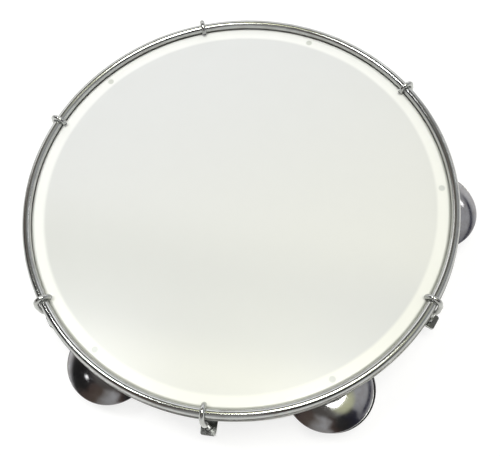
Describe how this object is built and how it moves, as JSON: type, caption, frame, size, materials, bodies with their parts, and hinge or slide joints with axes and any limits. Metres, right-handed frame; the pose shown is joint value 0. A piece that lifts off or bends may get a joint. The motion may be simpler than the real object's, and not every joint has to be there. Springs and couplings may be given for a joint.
{
  "type": "pandeiro",
  "caption": "Shallow hand drum with a tensioned film head under a wire hoop, hooked brackets round a white shell, and pairs of loose domed jingles in slots.",
  "frame": {"origin": "centre of the head's playing face", "axes": "+Z out of the playing face along the drum's axis, +X through the jingle station opposite the hand hold"},
  "size_m": [0.2853, 0.2791, 0.0575],
  "materials": {
    "shell": "smooth white moulded shell",
    "film": "milky translucent polyester film, slightly glossy",
    "flesh_hoop": "plain rolled channel",
    "chrome": "bright plated steel wire",
    "bracket": "plated bent sheet",
    "fastener": "zinc-plated steel",
    "pin": "plain steel pin",
    "jingle": "polished dark nickel plate",
    "disc": "flat plated disc"
  },
  "bodies": {
    "drum": {"shell": "shell", "head_film": "film", "flesh_hoop": "flesh_hoop", "counter_hoop": "chrome", "bracket_1": "bracket", "bracket_2": "bracket", "bracket_3": "bracket", "bracket_4": "bracket", "bracket_5": "bracket", "bracket_6": "bracket", "bracket_screw_1": "fastener", "bracket_screw_2": "fastener", "bracket_screw_3": "fastener", "bracket_screw_4": "fastener", "bracket_screw_5": "fastener", "bracket_screw_6": "fastener", "jingle_pin_1": "pin", "jingle_pin_2": "pin", "jingle_pin_3": "pin", "jingle_pin_4": "pin", "jingle_pin_5": "pin"},
    "hook_1": {"tension_hook_1": "chrome"},
    "nut_1": {"tension_nut_1": "fastener"},
    "hook_2": {"tension_hook_2": "chrome"},
    "nut_2": {"tension_nut_2": "fastener"},
    "hook_3": {"tension_hook_3": "chrome"},
    "nut_3": {"tension_nut_3": "fastener"},
    "hook_4": {"tension_hook_4": "chrome"},
    "nut_4": {"tension_nut_4": "fastener"},
    "hook_5": {"tension_hook_5": "chrome"},
    "nut_5": {"tension_nut_5": "fastener"},
    "hook_6": {"tension_hook_6": "chrome"},
    "nut_6": {"tension_nut_6": "fastener"},
    "lower_cup_1": {"jingle_lower_cup_1": "jingle"},
    "disc_1": {"jingle_disc_1": "disc"},
    "upper_cup_1": {"jingle_upper_cup_1": "jingle"},
    "lower_cup_2": {"jingle_lower_cup_2": "jingle"},
    "disc_2": {"jingle_disc_2": "disc"},
    "upper_cup_2": {"jingle_upper_cup_2": "jingle"},
    "lower_cup_3": {"jingle_lower_cup_3": "jingle"},
    "disc_3": {"jingle_disc_3": "disc"},
    "upper_cup_3": {"jingle_upper_cup_3": "jingle"},
    "lower_cup_4": {"jingle_lower_cup_4": "jingle"},
    "disc_4": {"jingle_disc_4": "disc"},
    "upper_cup_4": {"jingle_upper_cup_4": "jingle"},
    "lower_cup_5": {"jingle_lower_cup_5": "jingle"},
    "disc_5": {"jingle_disc_5": "disc"},
    "upper_cup_5": {"jingle_upper_cup_5": "jingle"}
  },
  "joints": [
    {"name": "hook_lift_1", "type": "slide", "parent": "drum", "child": "hook_1", "axis": [0, 0, 1], "range_m": [0, 0.0025]},
    {"name": "nut_turn_1", "type": "hinge", "parent": "drum", "child": "nut_1", "pos_m": [0.11256, 0.07344, -0.0337], "axis": [0, 0, -1], "range_deg": [0, 1800]},
    {"name": "hook_lift_2", "type": "slide", "parent": "drum", "child": "hook_2", "axis": [0, 0, 1], "range_m": [0, 0.0025]},
    {"name": "nut_turn_2", "type": "hinge", "parent": "drum", "child": "nut_2", "pos_m": [-0.02189, 0.13261, -0.0337], "axis": [0, 0, -1], "range_deg": [0, 1800]},
    {"name": "hook_lift_3", "type": "slide", "parent": "drum", "child": "hook_3", "axis": [0, 0, 1], "range_m": [0, 0.0025]},
    {"name": "nut_turn_3", "type": "hinge", "parent": "drum", "child": "nut_3", "pos_m": [-0.11878, 0.06289, -0.0337], "axis": [0, 0, -1], "range_deg": [0, 1800]},
    {"name": "hook_lift_4", "type": "slide", "parent": "drum", "child": "hook_4", "axis": [0, 0, 1], "range_m": [0, 0.0025]},
    {"name": "nut_turn_4", "type": "hinge", "parent": "drum", "child": "nut_4", "pos_m": [-0.11878, -0.06289, -0.0337], "axis": [0, 0, -1], "range_deg": [0, 1800]},
    {"name": "hook_lift_5", "type": "slide", "parent": "drum", "child": "hook_5", "axis": [0, 0, 1], "range_m": [0, 0.0025]},
    {"name": "nut_turn_5", "type": "hinge", "parent": "drum", "child": "nut_5", "pos_m": [-0.02189, -0.13261, -0.0337], "axis": [0, 0, -1], "range_deg": [0, 1800]},
    {"name": "hook_lift_6", "type": "slide", "parent": "drum", "child": "hook_6", "axis": [0, 0, 1], "range_m": [0, 0.0025]},
    {"name": "nut_turn_6", "type": "hinge", "parent": "drum", "child": "nut_6", "pos_m": [0.11256, -0.07344, -0.0337], "axis": [0, 0, -1], "range_deg": [0, 1800]},
    {"name": "lower_cup_slide_1", "type": "slide", "parent": "drum", "child": "lower_cup_1", "axis": [0, 0, 1], "range_m": [0, 0.0013]},
    {"name": "disc_slide_1", "type": "slide", "parent": "lower_cup_1", "child": "disc_1", "axis": [0, 0, 1], "range_m": [0, 0.0013]},
    {"name": "upper_cup_slide_1", "type": "slide", "parent": "disc_1", "child": "upper_cup_1", "axis": [0, 0, 1], "range_m": [0, 0.0014]},
    {"name": "lower_cup_slide_2", "type": "slide", "parent": "drum", "child": "lower_cup_2", "axis": [0, 0, 1], "range_m": [0, 0.0013]},
    {"name": "disc_slide_2", "type": "slide", "parent": "lower_cup_2", "child": "disc_2", "axis": [0, 0, 1], "range_m": [0, 0.0013]},
    {"name": "upper_cup_slide_2", "type": "slide", "parent": "disc_2", "child": "upper_cup_2", "axis": [0, 0, 1], "range_m": [0, 0.0014]},
    {"name": "lower_cup_slide_3", "type": "slide", "parent": "drum", "child": "lower_cup_3", "axis": [0, 0, 1], "range_m": [0, 0.0013]},
    {"name": "disc_slide_3", "type": "slide", "parent": "lower_cup_3", "child": "disc_3", "axis": [0, 0, 1], "range_m": [0, 0.0013]},
    {"name": "upper_cup_slide_3", "type": "slide", "parent": "disc_3", "child": "upper_cup_3", "axis": [0, 0, 1], "range_m": [0, 0.0014]},
    {"name": "lower_cup_slide_4", "type": "slide", "parent": "drum", "child": "lower_cup_4", "axis": [0, 0, 1], "range_m": [0, 0.0013]},
    {"name": "disc_slide_4", "type": "slide", "parent": "lower_cup_4", "child": "disc_4", "axis": [0, 0, 1], "range_m": [0, 0.0013]},
    {"name": "upper_cup_slide_4", "type": "slide", "parent": "disc_4", "child": "upper_cup_4", "axis": [0, 0, 1], "range_m": [0, 0.0014]},
    {"name": "lower_cup_slide_5", "type": "slide", "parent": "drum", "child": "lower_cup_5", "axis": [0, 0, 1], "range_m": [0, 0.0013]},
    {"name": "disc_slide_5", "type": "slide", "parent": "lower_cup_5", "child": "disc_5", "axis": [0, 0, 1], "range_m": [0, 0.0013]},
    {"name": "upper_cup_slide_5", "type": "slide", "parent": "disc_5", "child": "upper_cup_5", "axis": [0, 0, 1], "range_m": [0, 0.0014]}
  ],
  "couplings": [
    {"joint": "nut_turn_1", "follows": "hook_lift_1", "rad_per_m": 12566},
    {"joint": "nut_turn_2", "follows": "hook_lift_2", "rad_per_m": 12566},
    {"joint": "nut_turn_3", "follows": "hook_lift_3", "rad_per_m": 12566},
    {"joint": "nut_turn_4", "follows": "hook_lift_4", "rad_per_m": 12566},
    {"joint": "nut_turn_5", "follows": "hook_lift_5", "rad_per_m": 12566},
    {"joint": "nut_turn_6", "follows": "hook_lift_6", "rad_per_m": 12566}
  ]
}
